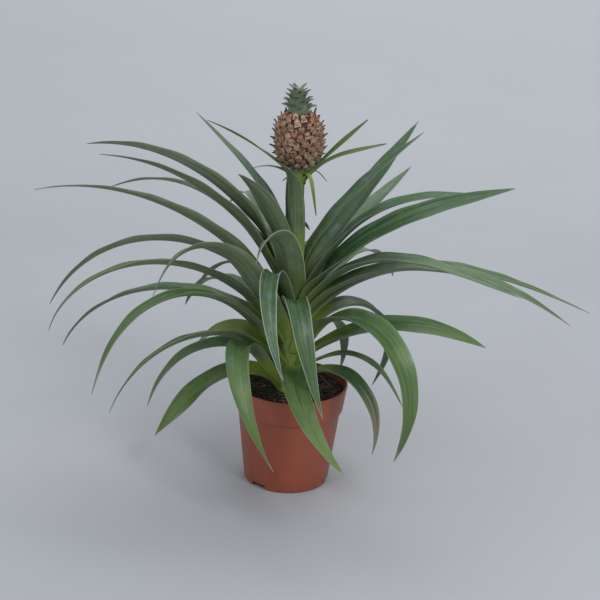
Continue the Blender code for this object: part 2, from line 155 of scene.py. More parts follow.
# A blade's shape. Its slope runs from rise at the foot to fall at the tip: half of that bend is done
# at the share middle of its length, and a higher crisp makes the bend more sudden. On the way its
# heading turns by lean and the blade turns about its own line, early by tilt and late by twist.
Leaf = namedtuple("Leaf", "heading height length width rise fall middle crisp lean twist tilt",
                  defaults=(0.5, 1, 0, 0, 0))

# Heights, lengths and widths in millimetres, angles in degrees, roughly from the lowest leaf up
LEAVES = (
    Leaf(178, 103, 157, 30, 38, -49, 0.26, 1.3, 39, -120, 28),
    Leaf(100, 106, 200, 28, 42, -65),
    Leaf(218, 107, 244, 28, 50, -58, 0.43, 3.5, 142),
    Leaf(318, 109, 170, 26, 45, -103, 0.55, 1.3, 0, -10),
    Leaf(186, 114, 183, 25, 59, -74, 0.43, 1.2, 0, -10),
    Leaf(270, 117, 216, 30, 48, -18, 0.19, 2.8, 40),
    Leaf(149, 120, 117, 30, 47, -50, 0.56, 1.4, 16, 0, -25),
    Leaf(335, 122, 145, 14, 36, -57, 0.54, 1.9),
    Leaf(60, 123, 162, 23, 58, -120, 0.57),
    Leaf(208, 125, 233, 28, 59, -68, 0.48, 1, 0, 10, 20),
    Leaf(125, 128, 240, 28, 56, -60),
    Leaf(209, 131, 294, 31, 60, -74, 0.55, 1.5, 0, 0, 10),
    Leaf(345, 131, 210, 31, 44, -21, 0.54, 1.1, 0, 50),
    Leaf(95, 136, 260, 28, 55, -55),
    Leaf(318, 145, 278, 35, 60, -112, 0.48, 1.4, 0, 15),
    Leaf(170, 146, 281, 31, 61, -70, 0.47, 0.8, 0, 0, 10),
    Leaf(25, 150, 193, 28, 62, -120, 0.47, 1.3),
    Leaf(135, 150, 194, 22, 68, -49, 0.47, 1.9),
    Leaf(196, 155.5, 302, 31, 65, -77, 0.62, 0.9, 3, -12, 22),
    Leaf(60, 159, 250, 28, 56, -55),
    Leaf(222, 161.5, 232, 37, 60, -68, 0.71, 2, -17, 0, 26),
    Leaf(12, 166, 346, 29, 58, -25, 0.28, 1.3),
    Leaf(269, 169.5, 186, 26, 73, -64, 0.31, 3.3, 60),
    Leaf(350, 178, 306, 34, 61, -33, 0.37),
    Leaf(170, 181, 308, 32, 60, -65, 0.48, 1, 0, -20, 30),
    Leaf(338, 185, 262, 31, 56, -12, 0.38, 1.9),
    Leaf(80, 188, 222, 27, 38, -55),
    Leaf(184, 190, 298, 33, 60, -15, 0.55, 0.9, 0, -26, 36),
    Leaf(335, 193, 279, 36, 60, 22, 0.38, 1.4, 0, 10, 26),
    Leaf(110, 195, 250, 28, 60, -40),
    Leaf(241, 196, 192, 21, 59, -56, 0.38, 2.8, 74),
    Leaf(344, 200, 236, 28, 66, 7, 0.54, 1.6, 0, 10, 5),
    Leaf(265, 204, 147, 31, 66, -78, 0.77, 1.9, -44, 0, 40),
    Leaf(150, 206, 262, 26, 55, -26, 0.53, 1.3, 0, 0, 15),
    Leaf(54, 209, 220, 27, 46, 21, 0.1, 3),
    Leaf(174, 216, 242, 32, 57, -1, 0.58, 1.1, 0, -14, 34),
    Leaf(38, 219.5, 209, 34, 42, 46, 0.3, 2.6),
    Leaf(158, 222, 278, 35, 62, -14, 0.5, 1, 0, -28, 52),
    Leaf(96, 225, 110, 15, 66, -40, 0.5, 1.5, -35),
    Leaf(215, 226, 137, 30, 84, 33, 0.62, 0.9, 0, 0, 35),
    Leaf(8, 229.5, 192, 31, 70, 40, 0.35, 0.9),
    Leaf(150, 230, 195, 23, 82, 35, 0.33, 1.8, 0, 0, 15),
    Leaf(262, 232, 140, 23, 87, 33, 0.75, 2.2, -30),
    Leaf(120, 236, 90, 14, 86, 75),
)

# Slips and bracts below the fruit, described as the leaves are
SLIPS = (
    Leaf(175, 329, 107, 9, 43, 17, 0.52, 0.9, 0, 0, 40),
    Leaf(184, 328, 50, 6, 45, -24, 0.54, 1.2, 0, 0, 40),
    Leaf(196, 334, 24, 6, 35, 10, 0.5, 1, 0, 0, 30),
    Leaf(205, 333, 16, 4, 10, -45),
    Leaf(353, 326, 94, 12, 51, 45, 0.56, 1.1, 0, 0, 42),
    Leaf(359, 323, 98, 9, 53, 16, 0.37, 2.2, 0, 0, 40),
    Leaf(24, 327, 37, 7, 53, -48, 0.43, 2.7, 0, 0, 30),
    Leaf(321, 333, 52, 6, 46, -76, 0.16, 2.8),
    Leaf(60, 323, 60, 9, 45, 15),
    Leaf(115, 325, 70, 9, 48, 10),
)

# Length of the dry tip on the leaves that have one, by the leaf's number
DRY_TIPS = {4: 62, 12: 34, 3: 12, 15: 16, 9: 14, 22: 14, 28: 12, 24: 14, 36: 9, 38: 9}

# How fresh a green a leaf is by the height of its foot in millimetres, and the leaves where it isn't that
FRESH_BY_HEIGHT = ((100, 1), (135, 0.85), (165, 0.45), (200, 0.2), (235, 0.15))
FRESH_GREENS = {7: 1, 6: 1, 36: 0.4, 43: 0.5}

# Leaves that have started to yellow, and how much; on leaves 1 and 7 this is partly painted light, a lighter
# yellow-green that stands in for light from above
YELLOWING_AND_PAINTED_LIGHT = {7: 0.26, 1: 0.12, 6: 0.06, 3: 0.05, 15: 0.05}

# Lengths, in millimetres, of a leaf's yellow foot and of its part near the stalk that is painted darker
# green as shade
YELLOW_FOOT = 62
INNER_SHADE_LENGTH = 140

# Leaves with dried white margins
WHITE_MARGINS = (23, 31, 33)


# Modelling by hand: the operators act on what is selected, so each step starts with nothing selected


def deselect():
    bpy.ops.object.select_all(action="DESELECT")


def newest(name):
    """Names the primitive that was just added."""
    thing = bpy.context.object
    thing.name = name
    thing.data.name = name
    return thing


def pick(thing):
    """Makes an object the only selected one and the active one."""
    deselect()
    thing.select_set(True)
    bpy.context.view_layer.objects.active = thing


def edit_faces(thing, wanted):
    """Goes into edit mode with only the wanted faces selected."""
    pick(thing)
    bpy.ops.object.mode_set(mode="EDIT")
    bpy.ops.mesh.select_mode(type="FACE")
    bpy.ops.mesh.select_all(action="DESELECT")
    bpy.ops.object.mode_set(mode="OBJECT")
    for face in thing.data.polygons:
        face.select = wanted(face)
    bpy.ops.object.mode_set(mode="EDIT")


def apply(thing, kind, **settings):
    """Adds a modifier and applies it."""
    pick(thing)
    modifier = thing.modifiers.new(kind.lower(), kind)
    for name, value in settings.items():
        setattr(modifier, name, value)
    bpy.ops.object.modifier_apply(modifier=modifier.name)


def smooth(thing, angle=50):
    pick(thing)
    bpy.ops.object.shade_smooth_by_angle(angle=math.radians(angle))


def settle(thing):
    """Puts an object's place and turn into its mesh."""
    pick(thing)
    bpy.ops.object.transform_apply(location=True, rotation=True, scale=True)


def gather(name, things):
    """Joins several objects into one."""
    deselect()
    for thing in things:
        thing.select_set(True)
    bpy.context.view_layer.objects.active = things[0]
    bpy.ops.object.join()
    return newest(name)


def copies(name, master, places):
    """One piece made of a copy of the master at each place. Each copy has a tint of its own."""
    draw = random.Random(name)
    made = []
    for place in places:
        piece = master.copy()
        piece.data = master.data.copy()
        bpy.context.scene.collection.objects.link(piece)
        piece.data.transform(place)
        write_attribute(piece.data, "tint", [draw.random()] * len(piece.data.vertices))
        made.append(piece)
    bpy.data.objects.remove(master)
    return gather(name, made)


def write_attribute(mesh, name, values):
    layer = mesh.attributes.get(name) or mesh.attributes.new(name, "FLOAT", "POINT")
    layer.data.foreach_set("value", values)


def drawn_up(name, rings, sides):
    """A turned solid: a disc at the first (radius, height) is extruded and scaled from ring to ring."""
    deselect()
    radius, height = rings[0]
    bpy.ops.mesh.primitive_circle_add(vertices=sides, radius=radius, fill_type="NGON",
                                      location=(0, 0, height))
    thing = newest(name)
    bpy.ops.object.mode_set(mode="EDIT")
    bpy.ops.mesh.select_all(action="SELECT")
    for (radius, height), (next_radius, next_height) in zip(rings, rings[1:]):
        rise = (0, 0, next_height - height)
        scale = next_radius / radius
        bpy.ops.mesh.extrude_region_move(TRANSFORM_OT_translate={"value": rise})
        bpy.ops.transform.resize(value=(scale, scale, 1))
    bpy.ops.mesh.select_all(action="SELECT")
    bpy.ops.mesh.normals_make_consistent(inside=False)
    bpy.ops.object.mode_set(mode="OBJECT")
    settle(thing)
    return thing


def between(table, value):
    """Reads a table of (place, amount) by straight lines between its rows."""
    for (low, first), (high, second) in zip(table, table[1:]):
        if value <= high:
            return first + (second - first) * max(0, value - low) / (high - low)
    return table[-1][1]


def heading_matrix(heading):
    return Matrix.Rotation(math.radians(heading), 4, "Z")


# Blades: leaves, slips and crown leaves


def share_bent(share, middle, crisp):
    """How much of a blade's bend is done at a share of its length."""
    if share <= 0 or share >= 1:
        return share
    odds = (1 - share) * middle / (share * (1 - middle))
    return 1 / (1 + odds ** crisp)


def blade_width(share, width, foot_width, taper):
    """A blade widens over its foot, and from the start of its taper it narrows to the tip."""
    if share < FOOT_SHARE:
        return foot_width + (width - foot_width) * math.sin(math.pi / 2 * share / FOOT_SHARE)
    start, power = taper
    narrowing = (max(0, share - start) / (1 - start)) ** power
    return width + (TIP_WIDTH - width) * narrowing


def blade_line(leaf, foot, foot_slope):
    """Closely spaced (middle, direction, sideways) from a blade's foot, at a radius, to its tip."""
    point = Vector((foot, 0, leaf.height * MM))
    point.rotate(Quaternion((0, 0, 1), math.radians(leaf.heading)))
    length = leaf.length * MM
    line = []
    for step in range(STEPS + 1):
        share = step / STEPS
        bent = share_bent(share, leaf.middle, leaf.crisp)
        slope = leaf.rise + (leaf.fall - leaf.rise) * bent
        slope += (foot_slope - leaf.rise) * max(0, 1 - share * length / SHEATH) ** 2
        slope = math.radians(slope)
        heading = math.radians(leaf.heading + leaf.lean * share ** LEAN_POWER)
        ahead = Vector((math.cos(heading), math.sin(heading), 0))
        direction = ahead * math.cos(slope) + Vector((0, 0, math.sin(slope)))
        sideways = Vector((-ahead.y, ahead.x, 0))
        early = min(1, max(0, (share * length - TILT_RUN[0]) / (TILT_RUN[1] - TILT_RUN[0])))
        turn = leaf.tilt * early * early * (3 - 2 * early) + leaf.twist * share ** TWIST_POWER
        sideways.rotate(Quaternion(direction, math.radians(turn)))
        line.append((point.copy(), direction, sideways))
        point += direction * (length / STEPS)
    return line


def along_line(line, share):
    """The (middle, direction, sideways) at any share of a blade's line."""
    step = min(share * STEPS, STEPS - 0.001)
    first, second = line[int(step)], line[int(step) + 1]
    return tuple(a.lerp(b, step % 1) for a, b in zip(first, second))


def blade(name, leaf, foot, foot_slope, foot_width, channel, taper, grid, thickness, finishes, ripple=0):
    """A channelled blade: a flat grid bent along its line and given its thickness.

    The finishes are those of its upper face, its underside and its margin.
    """
    deselect()
    rows, columns = grid
    bpy.ops.mesh.primitive_grid_add(x_subdivisions=columns, y_subdivisions=rows, size=1)
    thing = newest(name)
    mesh = thing.data
    line = blade_line(leaf, foot, foot_slope)
    phase = GOLDEN_ANGLE * leaf.height
    edges, alongs = [], []
    for vertex in mesh.vertices:
        across, share = -2 * vertex.co.x, vertex.co.y + 0.5
        middle, direction, sideways = along_line(line, share)
        up = direction.cross(sideways)
        width = blade_width(share, leaf.width * MM, foot_width, taper)
        half_angle = math.radians(between(channel, share))
        radius = width / 2 / half_angle
        angle = half_angle * across
        wave = math.sin(2 * math.pi * share * leaf.length * MM / RIPPLE_LENGTH + phase + across)
        lift = ripple * wave * abs(across) ** 3 * math.sin(math.pi * share)
        depth = radius * (1 - math.cos(angle)) + lift
        vertex.co = middle + sideways * radius * math.sin(angle) + up * depth
        edges.append(min(1, (1 - abs(across)) * width / 2 / MARGIN_WIDTH))
        alongs.append(share)
    write_attribute(mesh, "edge", edges)
    write_attribute(mesh, "along", alongs)
    for made in finishes:
        mesh.materials.append(made)
    group = thing.vertex_groups.new(name="thick")
    for vertex, edge in zip(mesh.vertices, edges):
        group.add([vertex.index], MARGIN_THICKNESS + (1 - MARGIN_THICKNESS) * edge, "REPLACE")
    apply(thing, "SOLIDIFY", thickness=thickness, offset=0, use_even_offset=True, vertex_group="thick",
          material_offset=1, material_offset_rim=2)
    return thing


def leaf_blade(number, leaf):
    """A leaf of the rosette, which clasps the stalk with its foot."""
    leaf = leaf._replace(length=leaf.length - WORN_TIP)
    foot = between(STALK_PROFILE, leaf.height * MM) + SEAT + MIDDLE_THICKNESS / 2
    foot_slope = between(FOOT_SLOPE, leaf.height * MM)
    foot_width = min(leaf.width * MM, 2 * foot * math.radians(CLASP))
    channel = ((0, math.degrees(foot_width / 2 / foot)), *CHANNEL)
    thing = blade(f"leaf_blade_{number:02d}", leaf, foot, foot_slope, foot_width, channel, LEAF_TAPER,
                  LEAF_GRID, MIDDLE_THICKNESS, (leaf_upper, leaf_under, leaf_margin), RIPPLE_RISE)
    mesh = thing.data
    along = [item.value for item in mesh.attributes["along"].data]
    draw = random.Random(number)
    fresh = between(FRESH_BY_HEIGHT, leaf.height)
    fresh = FRESH_GREENS.get(number, min(1, max(0, fresh + draw.uniform(-0.12, 0.12))))
    dry_share = DRY_TIPS.get(number, 5) / leaf.length
    write_attribute(mesh, "fresh", [fresh * (0.25 + 0.75 * share) for share in along])
    write_attribute(mesh, "seed", [draw.random()] * len(along))
    write_attribute(mesh, "dry", [max(0, 1 - (1 - share) / dry_share / 2) for share in along])
    write_attribute(mesh, "white", [0.75 if number in WHITE_MARGINS else 0.12] * len(along))
    # On leaves 1 and 7 the yellow spread over the whole leaf is partly painted light
    yellowing_and_light = YELLOWING_AND_PAINTED_LIGHT.get(number, 0)
    yellow = [max(yellowing_and_light, fresh * (1 - share * leaf.length / YELLOW_FOOT)) for share in along]
    write_attribute(mesh, "foot", yellow)
    # Painted shade: reach is 0 near the stalk and rises to 1 further out, and the finish paints the leaf
    # darker green where it is low, as the shade in the rosette's heart
    reach = [min(1, max(0, share * leaf.length / INNER_SHADE_LENGTH - 0.25)) for share in along]
    write_attribute(mesh, "reach", reach)
    mesh.transform(Matrix.Translation(PLANT_AXIS))
    smooth(thing)
    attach(thing, "root")
    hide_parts(f"leaf_{number:02d}")


def stem():
    """The stem and the fruit stalk up to the fruit."""
    rings = [(radius, height) for height, radius in STALK_PROFILE]
    thing = drawn_up("stem", rings, STALK_SIDES)
    thing.data.transform(Matrix.Translation(PLANT_AXIS))
    apply(thing, "BEVEL", width=1.2 * MM, segments=2, limit_method="ANGLE", angle_limit=math.radians(20))
    thing.data.materials.append(stalk_green)
    smooth(thing)
    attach(thing, "root")
    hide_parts("stalk")


def slips():
    """The small leaves and bracts that grow from the stalk below the fruit."""
    made = []
    for slip in SLIPS:
        foot = between(STALK_PROFILE, slip.height * MM) / 2
        foot_width = SLIP_FOOT * slip.width * MM
        thing = blade("slip", slip, foot, slip.rise, foot_width, SLIP_CHANNEL, SLIP_TAPER,
                      SLIP_GRID, SMALL_THICKNESS, (slip_green, slip_green, slip_green))
        along = [item.value for item in thing.data.attributes["along"].data]
        write_attribute(thing.data, "foot", [max(0, 1 - share * slip.length / 45) for share in along])
        write_attribute(thing.data, "dry", [max(0, 1 - (1 - share) * slip.length / 12) for share in along])
        made.append(thing)
    thing = gather("slips", made)
    thing.data.transform(Matrix.Translation(PLANT_AXIS))
    smooth(thing)
    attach(thing, "root")
    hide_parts("stalk")


# Fruit and crown


def fruit_radius(share):
    """Radius of the fruit's core at a share of its height."""
    round_part = (1 - abs(2 * share - 1) ** FRUIT_POWER) ** (1 / FRUIT_POWER)
    return FRUIT_END + (FRUIT_RADIUS - FRUIT_END) * round_part


def fruit_places(count):
    """Even (share of height, heading) places over the fruit's side, along one spiral."""
    heights = [(index + 0.5) / PLACE_SLICES for index in range(PLACE_SLICES)]
    slants = []
    for share in heights:
        half = 0.5 / PLACE_SLICES
        change = (fruit_radius(share + half) - fruit_radius(share - half)) * PLACE_SLICES
        slants.append(fruit_radius(share) * math.hypot(change, FRUIT_HEIGHT))
    total = sum(slants)
    places = []
    covered = 0
    for share, slant in zip(heights, slants):
        covered += slant / total
        while len(places) < count and covered >= (len(places) + 0.5) / count:
            places.append((share, GOLDEN_ANGLE * len(places)))
    return places


def fruit_frame():
    """The leaning frame that the fruit and crown are made in, with its origin under the fruit."""
    lean = Matrix.Rotation(math.radians(FRUIT_LEAN), 4, "Y")
    return Matrix.Translation(PLANT_AXIS + Vector((0, 0, FRUIT_FOOT))) @ lean


def fruit_spot(share, heading):
    """A frame on the fruit's side with its Z axis straight out of the skin and X down the fruit."""
    low, high = max(0, share - 0.01), min(1, share + 0.01)
    slant = math.atan2((high - low) * FRUIT_HEIGHT, fruit_radius(low) - fruit_radius(high))
    spot = Matrix.Translation((fruit_radius(share), 0, share * FRUIT_HEIGHT))
    return heading_matrix(heading) @ spot @ Matrix.Rotation(slant, 4, "Y")


def fruit_core():
    """The fruit's body, seen in the furrows between its eyes."""
    rings = []
    for ring in range(FRUIT_RINGS + 1):
        share = (1 - math.cos(math.pi * ring / FRUIT_RINGS)) / 2
        rings.append((fruit_radius(share), share * FRUIT_HEIGHT))
    thing = drawn_up("fruit_core", rings, FRUIT_SIDES)
    thing.data.transform(fruit_frame())
    thing.data.materials.append(furrow_brown)
    smooth(thing, 60)
    return thing


def eye_master():
    """One eye of unit radius: a low six-sided boss."""
    deselect()
    bpy.ops.mesh.primitive_cylinder_add(vertices=6, radius=1, depth=1, location=(0, 0, 0))
    thing = newest("eye")
    edit_faces(thing, lambda face: face.normal.z > 0.9)
    bpy.ops.transform.resize(value=(0.85, 0.85, 1))
    bpy.ops.mesh.inset(thickness=0.2)
    bpy.ops.transform.translate(value=(0, 0, 0.14))
    bpy.ops.mesh.inset(thickness=0.3)
    bpy.ops.transform.translate(value=(0.05, 0, 0.07))
    bpy.ops.object.mode_set(mode="OBJECT")
    return thing


def bract_master():
    """One bract of unit length: a pointed scale that lies over an eye and curls out at its tip."""
    deselect()
    bpy.ops.mesh.primitive_grid_add(x_subdivisions=2, y_subdivisions=6, size=1)
    thing = newest("bract")
    alongs = []
    for vertex in thing.data.vertices:
        across, share = 2 * vertex.co.x, vertex.co.y + 0.5
        width = BRACT_WIDTH * (0.7 + 0.9 * share) * (1 - share) + 0.03
        curl = 0.5 * max(0, share - 0.4) ** 1.6
        vertex.co = (-share * 0.94, across * width, 0.1 + 0.16 * share + curl - 0.13 * across * across)
        alongs.append(share)
    write_attribute(thing.data, "along", alongs)
    apply(thing, "SOLIDIFY", thickness=0.05, offset=0)
    return thing


def eye_size(share):
    return END_EYE + (1 - END_EYE) * math.sin(math.pi * share) ** 0.6


def fruit():
    """The fruit: a core covered by eyes in spirals, each with its bract."""
    draw = random.Random(7)
    core = fruit_core()
    eyes, bracts = [], []
    for share, heading in fruit_places(EYE_COUNT):
        size = eye_size(share)
        turn = Matrix.Rotation(math.radians(draw.uniform(-14, 14)), 4, "Z")
        place = fruit_frame() @ fruit_spot(share, heading + draw.uniform(-2, 2)) @ turn
        radius = EYE_RADIUS * size * draw.uniform(0.95, 1.12)
        shape = Matrix.Diagonal((radius, radius, EYE_RISE * 2 * draw.uniform(0.8, 1.2), 1))
        eyes.append(place @ shape)
        length = BRACT_LENGTH * size * draw.uniform(0.8, 1.15)
        length *= 0.92 + 0.2 * share + 1.3 * max(0, share - 0.78)
        tilt = Matrix.Rotation(math.radians(draw.uniform(-2, 20)), 4, "Y")
        start = Matrix.Translation((1.0 * radius, 0, 0.5 * MM))
        bracts.append(place @ start @ tilt @ Matrix.Scale(length, 4))
    skin = copies("fruit_eyes", eye_master(), eyes)
    scales = copies("fruit_bracts", bract_master(), bracts)
    skin.data.materials.append(eye_rind)
    scales.data.materials.append(bract_brown)
    smooth(skin, 50)
    smooth(scales, 60)
    for thing in (core, skin, scales):
        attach(thing, "root")
        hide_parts("fruit")


def crown():
    """The tuft of short stiff leaves on top of the fruit."""
    top = CROWN_HEIGHT / 2
    rings = [(CROWN_RADIUS, 0), (CROWN_RADIUS * 0.8, top / 2), (CROWN_RADIUS / 3, top)]
    core = drawn_up("crown_core", rings, CROWN_SIDES)
    core.data.materials.append(crown_green)
    made = []
    draw = random.Random(11)
    for number in range(CROWN_LEAVES):
        share = number / (CROWN_LEAVES - 1)
        height, length, width, rise, fall = (
            low + (high - low) * share
            for low, high in (CROWN_LEAF_HEIGHT, CROWN_LEAF_LENGTH, CROWN_LEAF_WIDTH,
                              CROWN_LEAF_RISE, CROWN_LEAF_FALL)
        )
        length *= draw.uniform(0.92, 1.04)
        fall += draw.uniform(-14, 14)
        leaf = Leaf(number * GOLDEN_ANGLE, height, length, width, rise, fall, 0.56, 2.4)
        foot = CROWN_RADIUS * (1.08 - 0.62 * share)
        thing = blade("crown leaf", leaf, foot, rise, width * MM, CROWN_LEAF_CHANNEL, CROWN_LEAF_TAPER,
                      CROWN_LEAF_GRID, SMALL_THICKNESS, (crown_green, crown_green, crown_green))
        write_attribute(thing.data, "tint", [draw.random()] * len(thing.data.vertices))
        made.append(thing)
    leaves = gather("crown_leaves", made)
    for thing in (core, leaves):
        thing.data.transform(fruit_frame() @ Matrix.Translation((0, 0, FRUIT_HEIGHT + SEAT)))
        smooth(thing)
        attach(thing, "root")
        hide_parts("crown")


# Pot and compost


def pot_outside(height):
    """Radius of the pot's outer wall at a height."""
    side = ((0, BASE_RADIUS), (NECK, NECK_RADIUS), (BAND_TOP, BAND_FOOT_RADIUS), (POT_HEIGHT, RIM_RADIUS))
    return between(side, height)


def cut_away(thing, cutter):
    apply(thing, "BOOLEAN", object=cutter, operation="DIFFERENCE", solver="EXACT")
    bpy.data.objects.remove(cutter)


def nursery_pot():
    """The moulded pot with its band, rim, drain holes and the notches at its foot."""
    rings = [
        (BASE_RADIUS - FOOT_ROUND, 0),
        (BASE_RADIUS, FOOT_ROUND),
        (NECK_RADIUS, NECK),
        (BAND_FOOT_RADIUS, BAND_TOP),
        (RIM_RADIUS, POT_HEIGHT),
        (RIM_RADIUS - WALL, POT_HEIGHT),
        (BAND_FOOT_RADIUS - WALL, BAND_TOP),
        (NECK_RADIUS - WALL, NECK),
        (BASE_RADIUS - WALL, FLOOR),
    ]
    pot = drawn_up("nursery_pot", rings, POT_SIDES)
    for index in range(NOTCH_COUNT):
        deselect()
        bpy.ops.mesh.primitive_cube_add(size=1)
        notch = newest("notch")
        size = Matrix.Diagonal((2 * NOTCH_REACH, NOTCH_WIDTH, 2 * NOTCH_HEIGHT, 1))
        spot = heading_matrix(NOTCH_HEADING + 360 * index / NOTCH_COUNT)
        notch.data.transform(spot @ Matrix.Translation((BASE_RADIUS, 0, 0)) @ size)
        cut_away(pot, notch)
    for index in range(DRAIN_COUNT):
        heading = math.radians(NOTCH_HEADING + 360 * (index + 0.5) / DRAIN_COUNT)
        spot = (DRAIN_CIRCLE * math.cos(heading), DRAIN_CIRCLE * math.sin(heading), 0)
        deselect()
        bpy.ops.mesh.primitive_cylinder_add(vertices=32, radius=DRAIN_RADIUS, depth=4 * FLOOR, location=spot)
        drain = newest("drain")
        settle(drain)
        cut_away(pot, drain)
    apply(pot, "BEVEL", width=0.55 * MM, segments=3, limit_method="ANGLE", angle_limit=math.radians(25))
    pot.data.materials.append(terracotta_plastic)
    smooth(pot, 40)
    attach(pot, "root")
    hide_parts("pot")


def soil_height(x, y):
    """Height of the compost's lumpy top, lower near the wall."""
    spot = Vector((x, y, 0))
    lumps = noise.noise(spot * 60) * 2.2 + noise.noise(spot * 190) * 1.0 + noise.noise(spot * 520) * 0.45
    reach = spot.length / pot_outside(SOIL_TOP)
    return SOIL_TOP + (lumps + 1.2 * (1 - reach * reach)) * MM


def compost_bed():
    """The compost itself, with a lumpy top."""
    gap = WALL + SEAT
    edge = pot_outside(SOIL_TOP) - gap
    rings = [(BASE_RADIUS - gap, FLOOR + SEAT), (NECK_RADIUS - gap, NECK + SEAT),
             (BAND_FOOT_RADIUS - gap, BAND_TOP + SEAT), (edge, SOIL_TOP)]
    for ring in range(SOIL_RINGS - 1, 0, -1):
        rings.append((edge * ring / SOIL_RINGS, SOIL_TOP))
    bed = drawn_up("compost_bed", rings, SOIL_SIDES)
    for vertex in bed.data.vertices:
        if vertex.co.z > SOIL_TOP - SEAT:
            vertex.co.z = soil_height(vertex.co.x, vertex.co.y)
    bed.data.materials.append(peat)
    smooth(bed, 60)
    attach(bed, "root")
    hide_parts("soil")


def chip_master():
    """One bark chip, a rough flat flake of unit length."""
    draw = random.Random(3)
    deselect()
    bpy.ops.mesh.primitive_cube_add(size=1)
    chip = newest("chip")
    bpy.ops.object.mode_set(mode="EDIT")
    bpy.ops.mesh.select_all(action="SELECT")
    bpy.ops.mesh.subdivide(number_cuts=1)
    bpy.ops.object.mode_set(mode="OBJECT")
    for vertex in chip.data.vertices:
        swell = 1.15 - 0.35 * vertex.co.length
        shift = Vector((draw.uniform(-1, 1), draw.uniform(-1, 1), draw.uniform(-1, 1))) * 0.1
        vertex.co = Vector((vertex.co.x, vertex.co.y * 0.5, vertex.co.z * 0.26)) * swell + shift * 0.6
    return chip


def bark_chips():
    """Bark and peat crumbs that lie on the compost."""
    draw = random.Random(21)
    edge = pot_outside(SOIL_TOP) - WALL - 3 * MM
    places = []
    while len(places) < CHIP_COUNT:
        x, y = draw.uniform(-edge, edge), draw.uniform(-edge, edge)
        reach = math.hypot(x, y)
        if reach > edge or reach < 14 * MM:
            continue
        length = draw.choice((2, 2.5, 3, 4, 5, 7)) * MM * draw.uniform(0.8, 1.2)
        turn = Matrix.Rotation(draw.uniform(0, 2 * math.pi), 4, "Z")
        tip = Matrix.Rotation(draw.uniform(-0.5, 0.5), 4, "X")
        tip = tip @ Matrix.Rotation(draw.uniform(-0.5, 0.5), 4, "Y")
        spot = Matrix.Translation((x, y, soil_height(x, y) + 0.1 * length))
        places.append(spot @ turn @ tip @ Matrix.Scale(length, 4))
    chips = copies("bark_chips", chip_master(), places)
    chips.data.materials.append(bark)
    smooth(chips, 30)
    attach(chips, "root")


def fibres():
    """Tan coir strands that lie curled on the compost."""
    draw = random.Random(5)
    edge = pot_outside(SOIL_TOP) - WALL - 5 * MM
    made = []
    for _ in range(FIBRE_COUNT):
        heading, reach = draw.uniform(0, 2 * math.pi), edge * math.sqrt(draw.uniform(0.12, 1))
        x, y = reach * math.cos(heading), reach * math.sin(heading)
        turn, curl = draw.uniform(0, 2 * math.pi), draw.uniform(-0.5, 0.5)
        step = draw.uniform(1.6, 3.2) * MM
        strand = bpy.data.curves.new("strand", "CURVE")
        strand.dimensions = "3D"
        strand.bevel_depth = draw.uniform(0.2, 0.42) * MM
        strand.bevel_resolution = 1
        strand.use_fill_caps = True
        points = []
        for _ in range(FIBRE_POINTS):
            if math.hypot(x, y) > edge:
                break
            points.append((x, y, soil_height(x, y) + draw.uniform(0.3, 1.3) * MM))
            turn += curl + draw.uniform(-0.25, 0.25)
            x += step * math.cos(turn)
            y += step * math.sin(turn)
        if len(points) < 3:
            continue
        spline = strand.splines.new("NURBS")
        spline.points.add(len(points) - 1)
        for point, spot in zip(spline.points, points):
            point.co = (*spot, 1)
        spline.use_endpoint_u = True
        spline.order_u = 3
        spline.resolution_u = 3
        thing = bpy.data.objects.new("strand", strand)
        bpy.context.scene.collection.objects.link(thing)
        pick(thing)
        bpy.ops.object.convert(target="MESH")
        made.append(bpy.context.object)
    strands = gather("coir_fibres", made)
    strands.data.materials.append(coir)
    smooth(strands, 80)
    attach(strands, "root")


# Finishes


def connect(tree, socket, value):
    """Links a socket, or sets its value."""
    if isinstance(value, bpy.types.NodeSocket):
        tree.links.new(value, socket)
    elif isinstance(value, tuple) and len(value) == 3 and len(socket.default_value) == 4:
        socket.default_value = (*value, 1)
    else:
        socket.default_value = value


def put(tree, kind, inputs=None, **settings):
    """Adds a node. An input that is another node's socket is linked, and any other is set."""
    made = tree.nodes.new(kind)
    for name, value in settings.items():
        setattr(made, name, value)
    for name, value in (inputs or {}).items():
        connect(tree, made.inputs[name], value)
    return made


def mixed(tree, mask, first, second, blend="MIX"):
    """A colour that goes from the first to the second as the mask goes from 0 to 1."""
    made = put(tree, "ShaderNodeMix", {0: mask, 6: first, 7: second}, data_type="RGBA", blend_type=blend)
    return made.outputs[2]


def ranged(tree, value, low, high, start=0, end=1):
    """Maps a value from low..high to start..end and holds it there."""
    inputs = {"Value": value, "From Min": low, "From Max": high, "To Min": start, "To Max": end}
    return put(tree, "ShaderNodeMapRange", inputs, clamp=True).outputs["Result"]


def sums(tree, operation, first, second=0):
    return put(tree, "ShaderNodeMath", {0: first, 1: second}, operation=operation).outputs[0]


def cloud(tree, vector, scale, detail=3, roughness=0.55):
    inputs = {"Vector": vector, "Scale": scale, "Detail": detail, "Roughness": roughness}
    return put(tree, "ShaderNodeTexNoise", inputs).outputs["Fac"]


def stored(tree, name):
    return put(tree, "ShaderNodeAttribute", attribute_name=name).outputs["Fac"]


def here(tree):
    return put(tree, "ShaderNodeTexCoord").outputs["Object"]


def finish(name):
    """A new material with its Principled shader, and its node tree."""
    made = bpy.data.materials.new(name)
    made.use_nodes = True
    return made, made.node_tree, made.node_tree.nodes["Principled BSDF"]


def bumped(tree, shader, height, depth, strength=1):
    """Feeds a bump of a real depth into a shader."""
    inputs = {"Height": height, "Distance": depth, "Strength": strength}
    connect(tree, shader.inputs["Normal"], put(tree, "ShaderNodeBump", inputs).outputs["Normal"])


